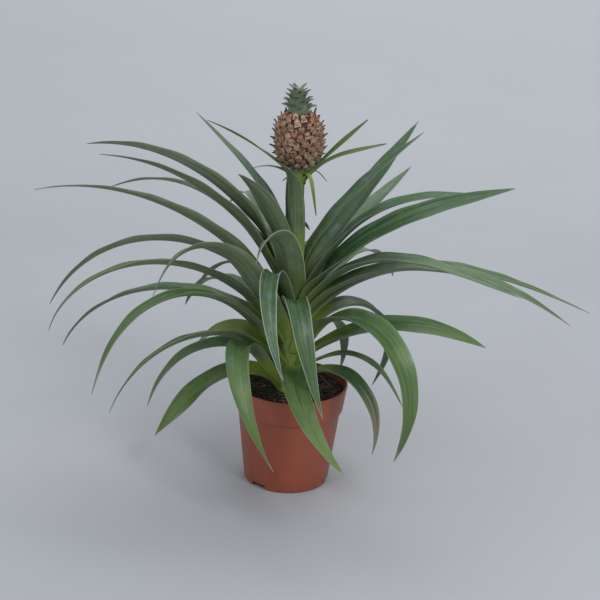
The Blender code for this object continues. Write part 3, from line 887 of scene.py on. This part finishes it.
def lengthwise_veins():
    """A node group of fine ridges and broad streaks that run along a blade."""
    group = bpy.data.node_groups.new("lengthwise veins", "ShaderNodeTree")
    for name in ("Across", "Along", "Seed", "Count"):
        group.interface.new_socket(name=name, in_out="INPUT", socket_type="NodeSocketFloat")
    for name in ("Ridges", "Streaks", "Mottle"):
        group.interface.new_socket(name=name, in_out="OUTPUT", socket_type="NodeSocketFloat")
    source = group.nodes.new("NodeGroupInput").outputs
    result = group.nodes.new("NodeGroupOutput").inputs
    turns = sums(group, "MULTIPLY", sums(group, "MULTIPLY", source["Across"], source["Count"]), 2 * math.pi)
    ridges = ranged(group, sums(group, "SINE", turns), -1, 1)
    seed = sums(group, "MULTIPLY", source["Seed"], 37)
    spot = put(group, "ShaderNodeCombineXYZ", {
        "X": sums(group, "MULTIPLY", source["Across"], 9),
        "Y": sums(group, "MULTIPLY", source["Along"], 2.4),
        "Z": seed,
    }).outputs[0]
    fine_spot = put(group, "ShaderNodeCombineXYZ", {
        "X": sums(group, "MULTIPLY", source["Across"], 60),
        "Y": sums(group, "MULTIPLY", source["Along"], 5),
        "Z": seed,
    }).outputs[0]
    broad = cloud(group, spot, 1, 3)
    fine = cloud(group, fine_spot, 1, 2)
    streaks = sums(group, "ADD", sums(group, "MULTIPLY", broad, 0.72), sums(group, "MULTIPLY", fine, 0.28))
    mottle_spot = put(group, "ShaderNodeCombineXYZ", {
        "X": sums(group, "MULTIPLY", source["Across"], 2),
        "Y": sums(group, "MULTIPLY", source["Along"], 16),
        "Z": seed,
    }).outputs[0]
    connect(group, result["Ridges"], ridges)
    connect(group, result["Streaks"], ranged(group, streaks, 0.38, 0.62))
    connect(group, result["Mottle"], cloud(group, mottle_spot, 1, 4))
    return group


def veins_of(tree, count):
    """The vein group placed on a blade's own grid."""
    grid = put(tree, "ShaderNodeUVMap", uv_map="UVMap").outputs[0]
    parts = put(tree, "ShaderNodeSeparateXYZ", {"Vector": grid}).outputs
    inputs = {"Across": parts["X"], "Along": parts["Y"], "Seed": stored(tree, "seed"), "Count": count}
    made = tree.nodes.new("ShaderNodeGroup")
    made.node_tree = veins
    for name, value in inputs.items():
        connect(tree, made.inputs[name], value)
    return made.outputs


def leaf_finish(name, dark, pale, fresh, inner, bloom_and_sheen, bloom_and_sheen_share, gloss, relief):
    """A leaf face: streaked green with a waxy bloom that is partly a painted satin sheen, painted shade as a
    darker green near the stalk, yellow at the foot, and a dry tip.
    """
    made, tree, shader = finish(name)
    lines = veins_of(tree, 34)
    colour = mixed(tree, lines["Streaks"], dark, pale)
    young = mixed(tree, lines["Streaks"], tuple(0.68 * part for part in fresh), fresh)
    colour = mixed(tree, stored(tree, "fresh"), colour, young)
    # Painted shade: a darker green near the stalk stands in for the shade in the rosette's heart
    painted_inner_shade = mixed(tree, lines["Streaks"], tuple(0.6 * part for part in inner), inner)
    colour = mixed(tree, stored(tree, "reach"), painted_inner_shade, colour)
    # Waxy bloom, partly painted sheen: pale bluish streaks that also stand in for satin highlights
    bloom_and_sheen_mask = sums(tree, "MULTIPLY", ranged(tree, lines["Mottle"], 0.4, 0.66, 0, bloom_and_sheen_share), lines["Streaks"])
    bloom_and_sheen_mask = sums(tree, "MULTIPLY", bloom_and_sheen_mask, ranged(tree, stored(tree, "fresh"), 0, 1, 1, 0.3))
    colour = mixed(tree, bloom_and_sheen_mask, colour, bloom_and_sheen)
    colour = mixed(tree, ranged(tree, lines["Mottle"], 0.48, 0.32, 0, 0.5), colour, fresh)
    # Yellow at the foot, spread over a whole leaf where it has yellowed; on leaves 1 and 7 that is partly
    # painted light
    colour = mixed(tree, ranged(tree, stored(tree, "foot"), 0.03, 0.5, 0, 0.88), colour, (0.31, 0.42, 0.055))
    white = sums(tree, "MULTIPLY", ranged(tree, stored(tree, "edge"), 0.2, 0.7, 1, 0), stored(tree, "white"))
    colour = mixed(tree, white, colour, (0.42, 0.48, 0.37))
    ragged = sums(tree, "ADD", stored(tree, "dry"), sums(tree, "MULTIPLY", lines["Streaks"], 0.22))
    dried = mixed(tree, lines["Streaks"], (0.17, 0.15, 0.10), (0.37, 0.34, 0.24))
    colour = mixed(tree, ranged(tree, ragged, 0.55, 0.85), colour, dried)
    connect(tree, shader.inputs["Base Color"], colour)
    rough = ranged(tree, lines["Mottle"], 0.3, 0.7, gloss + 0.08, gloss - 0.05)
    connect(tree, shader.inputs["Roughness"], rough)
    height = sums(tree, "ADD", sums(tree, "MULTIPLY", lines["Ridges"], 0.5), lines["Streaks"])
    bumped(tree, shader, height, relief)
    return made


def leaf_margin_finish():
    """The thin pale edge of a leaf."""
    made, tree, shader = finish("leaf margin")
    lines = veins_of(tree, 34)
    green = mixed(tree, lines["Mottle"], (0.09, 0.14, 0.08), (0.18, 0.23, 0.15))
    colour = mixed(tree, stored(tree, "white"), green, (0.46, 0.52, 0.42))
    colour = mixed(tree, ranged(tree, stored(tree, "dry"), 0.5, 0.8), colour, (0.27, 0.23, 0.15))
    connect(tree, shader.inputs["Base Color"], colour)
    shader.inputs["Roughness"].default_value = 0.5
    return made


def slip_finish():
    """Bright young green, yellow at the foot, brown at the very tip."""
    made, tree, shader = finish("slip green")
    lines = veins_of(tree, 9)
    colour = mixed(tree, lines["Streaks"], (0.050, 0.108, 0.030), (0.125, 0.205, 0.060))
    colour = mixed(tree, ranged(tree, stored(tree, "foot"), 0, 0.8, 0, 0.9), colour, (0.27, 0.35, 0.07))
    colour = mixed(tree, ranged(tree, stored(tree, "edge"), 0.2, 0.6, 0.6, 0), colour, (0.22, 0.30, 0.12))
    colour = mixed(tree, ranged(tree, stored(tree, "dry"), 0.2, 0.8), colour, (0.12, 0.10, 0.06))
    connect(tree, shader.inputs["Base Color"], colour)
    shader.inputs["Roughness"].default_value = 0.42
    bumped(tree, shader, lines["Ridges"], 0.1 * MM)
    return made


def crown_finish():
    """Grey blue-green crown leaves, paler in the heart, with dark tips."""
    made, tree, shader = finish("crown green")
    lines = veins_of(tree, 7)
    colour = mixed(tree, stored(tree, "tint"), (0.135, 0.195, 0.12), (0.23, 0.30, 0.19))
    colour = mixed(tree, ranged(tree, lines["Mottle"], 0.4, 0.7, 0, 0.5), colour, (0.30, 0.36, 0.26))
    tip = ranged(tree, stored(tree, "along"), 0.55, 0.95, 0, 0.85)
    colour = mixed(tree, tip, colour, (0.035, 0.05, 0.045))
    connect(tree, shader.inputs["Base Color"], colour)
    shader.inputs["Roughness"].default_value = 0.5
    bumped(tree, shader, lines["Ridges"], 0.12 * MM)
    return made


def stalk_finish():
    """Pale green stem with lengthwise fibres."""
    made, tree, shader = finish("stalk green")
    spot = put(tree, "ShaderNodeMapping", {"Vector": here(tree), "Scale": (1, 1, 0.12)}).outputs[0]
    fibre = cloud(tree, spot, 900, 3)
    patch = cloud(tree, here(tree), 60, 3)
    colour = mixed(tree, ranged(tree, fibre, 0.35, 0.65), (0.16, 0.235, 0.06), (0.26, 0.34, 0.10))
    colour = mixed(tree, ranged(tree, patch, 0.5, 0.75, 0, 0.5), colour, (0.28, 0.32, 0.13))
    connect(tree, shader.inputs["Base Color"], colour)
    shader.inputs["Roughness"].default_value = 0.5
    bumped(tree, shader, fibre, 0.3 * MM)
    return made


def furrow_finish():
    """The dark brown between the eyes."""
    made, tree, shader = finish("furrow brown")
    grain = cloud(tree, here(tree), 500, 4)
    colour = mixed(tree, ranged(tree, grain, 0.3, 0.7), (0.022, 0.014, 0.009), (0.075, 0.04, 0.022))
    connect(tree, shader.inputs["Base Color"], colour)
    shader.inputs["Roughness"].default_value = 0.8
    bumped(tree, shader, grain, 0.5 * MM)
    return made


def eye_finish():
    """Rind of the eyes: orange brown to pink, some with a grey green middle."""
    made, tree, shader = finish("eye rind")
    tint = stored(tree, "tint")
    patch = cloud(tree, here(tree), 260, 4)
    speck = cloud(tree, here(tree), 1400, 3)
    colour = mixed(tree, tint, (0.155, 0.07, 0.038), (0.40, 0.275, 0.175))
    green = sums(tree, "MULTIPLY", ranged(tree, tint, 0.55, 0.8), ranged(tree, patch, 0.48, 0.62))
    colour = mixed(tree, green, colour, (0.24, 0.24, 0.13))
    colour = mixed(tree, ranged(tree, patch, 0.52, 0.36), colour, (0.12, 0.055, 0.03))
    colour = mixed(tree, ranged(tree, speck, 0.6, 0.72, 0, 0.7), colour, (0.52, 0.38, 0.26))
    connect(tree, shader.inputs["Base Color"], colour)
    connect(tree, shader.inputs["Roughness"], ranged(tree, patch, 0.3, 0.7, 0.42, 0.62))
    bumped(tree, shader, sums(tree, "ADD", patch, sums(tree, "MULTIPLY", speck, 0.4)), 0.7 * MM)
    return made


def bract_finish():
    """Papery bracts: pinkish tan, dark brown at their points."""
    made, tree, shader = finish("bract brown")
    tint = stored(tree, "tint")
    grain = cloud(tree, here(tree), 900, 3)
    colour = mixed(tree, tint, (0.38, 0.135, 0.06), (0.70, 0.47, 0.34))
    height = put(tree, "ShaderNodeSeparateXYZ", {"Vector": here(tree)}).outputs["Z"]
    low = ranged(tree, height, FRUIT_FOOT + 4 * MM, FRUIT_FOOT + 0.6 * FRUIT_HEIGHT, 0.75, 0)
    dull = mixed(tree, tint, (0.24, 0.155, 0.10), (0.50, 0.42, 0.30))
    colour = mixed(tree, low, colour, dull)
    colour = mixed(tree, ranged(tree, grain, 0.45, 0.7, 0, 0.75), colour, (0.16, 0.075, 0.04))
    colour = mixed(tree, ranged(tree, stored(tree, "along"), 0.6, 0.92), colour, (0.06, 0.04, 0.03))
    connect(tree, shader.inputs["Base Color"], colour)
    shader.inputs["Roughness"].default_value = 0.6
    bumped(tree, shader, grain, 0.25 * MM)
    return made


def pot_finish():
    """Terracotta-coloured plastic: satin, faintly mottled, dusty in its corners, with a little dried mud."""
    made, tree, shader = finish("terracotta plastic")
    place = here(tree)
    flow = put(tree, "ShaderNodeMapping", {"Vector": place, "Scale": (1, 1, 0.35)}).outputs[0]
    wide = cloud(tree, flow, 26, 3)
    fine = cloud(tree, place, 900, 3)
    rub = cloud(tree, flow, 210, 5, 0.7)
    colour = mixed(tree, ranged(tree, wide, 0.35, 0.65), (0.27, 0.062, 0.030), (0.33, 0.082, 0.042))
    colour = mixed(tree, ranged(tree, rub, 0.58, 0.74, 0, 0.35), colour, (0.40, 0.17, 0.11))
    height = put(tree, "ShaderNodeSeparateXYZ", {"Vector": place}).outputs["Z"]
    low = ranged(tree, height, 0, 12 * MM, 1, 0)
    high = ranged(tree, height, POT_HEIGHT - 5 * MM, POT_HEIGHT, 0, 0.7)
    dirt = sums(tree, "MULTIPLY", sums(tree, "ADD", low, high), ranged(tree, rub, 0.44, 0.62))
    colour = mixed(tree, sums(tree, "MULTIPLY", dirt, 0.55), colour, (0.11, 0.055, 0.035))
    connect(tree, shader.inputs["Base Color"], colour)
    rough = sums(tree, "ADD", ranged(tree, rub, 0.3, 0.7, 0.36, 0.5), sums(tree, "MULTIPLY", dirt, 0.3))
    connect(tree, shader.inputs["Roughness"], rough)
    bumped(tree, shader, sums(tree, "ADD", fine, sums(tree, "MULTIPLY", wide, 2)), 0.06 * MM)
    return made


def earth_finish(name, dark, light, scale, depth):
    """Peat or bark: rough, dark, with paler crumbs."""
    made, tree, shader = finish(name)
    place = here(tree)
    coarse = cloud(tree, place, scale, 5, 0.65)
    fine = cloud(tree, place, scale * 5, 3)
    colour = mixed(tree, ranged(tree, coarse, 0.4, 0.72), dark, light)
    colour = mixed(tree, ranged(tree, fine, 0.6, 0.75, 0, 0.6), colour, tuple(2.2 * part for part in light))
    connect(tree, shader.inputs["Base Color"], colour)
    shader.inputs["Roughness"].default_value = 0.9
    bumped(tree, shader, sums(tree, "ADD", coarse, sums(tree, "MULTIPLY", fine, 0.5)), depth)
    return made


def backdrop_painted_light_finish():
    made, tree, shader = finish("pale backdrop with painted light")
    patch = cloud(tree, here(tree), 2, 2)
    depth = put(tree, "ShaderNodeSeparateXYZ", {"Vector": here(tree)}).outputs["Y"]
    near = mixed(tree, ranged(tree, patch, 0.3, 0.7), (0.385, 0.395, 0.414), (0.415, 0.426, 0.446))
    # Painted light: the backdrop is painted lighter towards the back, standing in for more light on the far
    # floor and wall than near the plant
    colour = mixed(tree, ranged(tree, depth, 0.7, 2.7), near, (0.53, 0.54, 0.56))
    connect(tree, shader.inputs["Base Color"], colour)
    shader.inputs["Roughness"].default_value = 0.7
    return made


# Studio


def backdrop():
    """A wide pale floor that sweeps up into a wall all round."""
    rings = [(STAGE_RADIUS, 0)]
    for step in range(1, SWEEP_STEPS + 1):
        angle = math.pi / 2 * step / SWEEP_STEPS
        rings.append((STAGE_RADIUS + SWEEP_RADIUS * math.sin(angle), SWEEP_RADIUS * (1 - math.cos(angle))))
    thing = drawn_up("backdrop", rings, 128)
    edit_faces(thing, lambda face: face.center.z > SWEEP_RADIUS - MM)
    bpy.ops.mesh.delete(type="FACE")
    bpy.ops.mesh.select_all(action="SELECT")
    bpy.ops.mesh.normals_make_consistent(inside=True)
    bpy.ops.object.mode_set(mode="OBJECT")
    thing.data.materials.append(backdrop_painted_light_finish())
    smooth(thing, 60)


def soft_light(name, place, aim, size, power, colour):
    lamp = bpy.data.lights.new(name, "AREA")
    lamp.shape = "DISK"
    lamp.size = size
    lamp.energy = power
    lamp.color = colour
    thing = bpy.data.objects.new(name, lamp)
    thing.location = place
    thing.rotation_euler = (Vector(aim) - Vector(place)).to_track_quat("-Z", "Y").to_euler()
    bpy.context.scene.collection.objects.link(thing)


def studio():
    world = bpy.data.worlds.new("studio")
    world.use_nodes = True
    sky = world.node_tree.nodes["Background"]
    sky.inputs["Color"].default_value = (0.88, 0.93, 1, 1)
    sky.inputs["Strength"].default_value = 0.75
    bpy.context.scene.world = world
    soft_light("overhead", (0.5, 1.6, 2.5), (0, 0.7, 0), 2.0, 24, (1, 0.99, 0.97))
    soft_light("key", (1.1, -1.7, 2.0), (0, 0, 0.2), 0.8, 26, (1, 0.98, 0.96))
    soft_light("fill", (-1.6, -1.8, 1.2), (0, 0, 0.25), 1.4, 9, (0.94, 0.97, 1))


def camera():
    """Looks down at the plant a little, from 1.8 m, with a slight tilt to the right."""
    look_at = Vector((0.0055, 0, 0.200))
    elevation, roll = math.radians(20.5), math.radians(3)
    back = Vector((0, -math.cos(elevation), math.sin(elevation)))
    right = Vector((1, 0, 0))
    up = back.cross(right)
    turned_right = right * math.cos(roll) + up * math.sin(roll)
    turned_up = up * math.cos(roll) - right * math.sin(roll)
    place = Matrix((turned_right, turned_up, back)).transposed().to_4x4()
    place.translation = look_at + back * 1.8
    lens = bpy.data.cameras.new("camera")
    lens.lens = 105
    lens.sensor_width = 36
    thing = bpy.data.objects.new("camera", lens)
    thing.matrix_world = place
    bpy.context.scene.collection.objects.link(thing)
    bpy.context.scene.camera = thing


bpy.context.scene.view_settings.view_transform = "Standard"

veins = lengthwise_veins()
# Each leaf face's fifth colour is its waxy bloom, which is partly a painted satin sheen
# Each leaf face's fourth colour is painted shade: the darker green near the stalk
leaf_upper = leaf_finish("leaf upper face", (0.022, 0.060, 0.022), (0.066, 0.142, 0.060),
                         (0.122, 0.213, 0.042), (0.040, 0.098, 0.024), (0.20, 0.28, 0.25),
                         0.55, 0.32, 0.12 * MM)
leaf_under = leaf_finish("leaf underside", (0.120, 0.165, 0.092), (0.228, 0.288, 0.188),
                         (0.145, 0.225, 0.078), (0.094, 0.150, 0.058), (0.28, 0.33, 0.26),
                         0.4, 0.46, 0.16 * MM)
leaf_margin = leaf_margin_finish()
slip_green = slip_finish()
crown_green = crown_finish()
stalk_green = stalk_finish()
furrow_brown = furrow_finish()
eye_rind = eye_finish()
bract_brown = bract_finish()
terracotta_plastic = pot_finish()
peat = earth_finish("peat", (0.006, 0.005, 0.004), (0.028, 0.019, 0.013), 260, 1.2 * MM)
bark = earth_finish("bark", (0.012, 0.009, 0.007), (0.052, 0.032, 0.020), 420, 0.5 * MM)
coir = earth_finish("coir", (0.13, 0.085, 0.045), (0.32, 0.22, 0.125), 700, 0.1 * MM)

camera()
studio()
backdrop()
nursery_pot()
compost_bed()
bark_chips()
fibres()
stem()
slips()
for number, leaf in enumerate(LEAVES, 1):
    leaf_blade(number, leaf)
fruit()
crown()
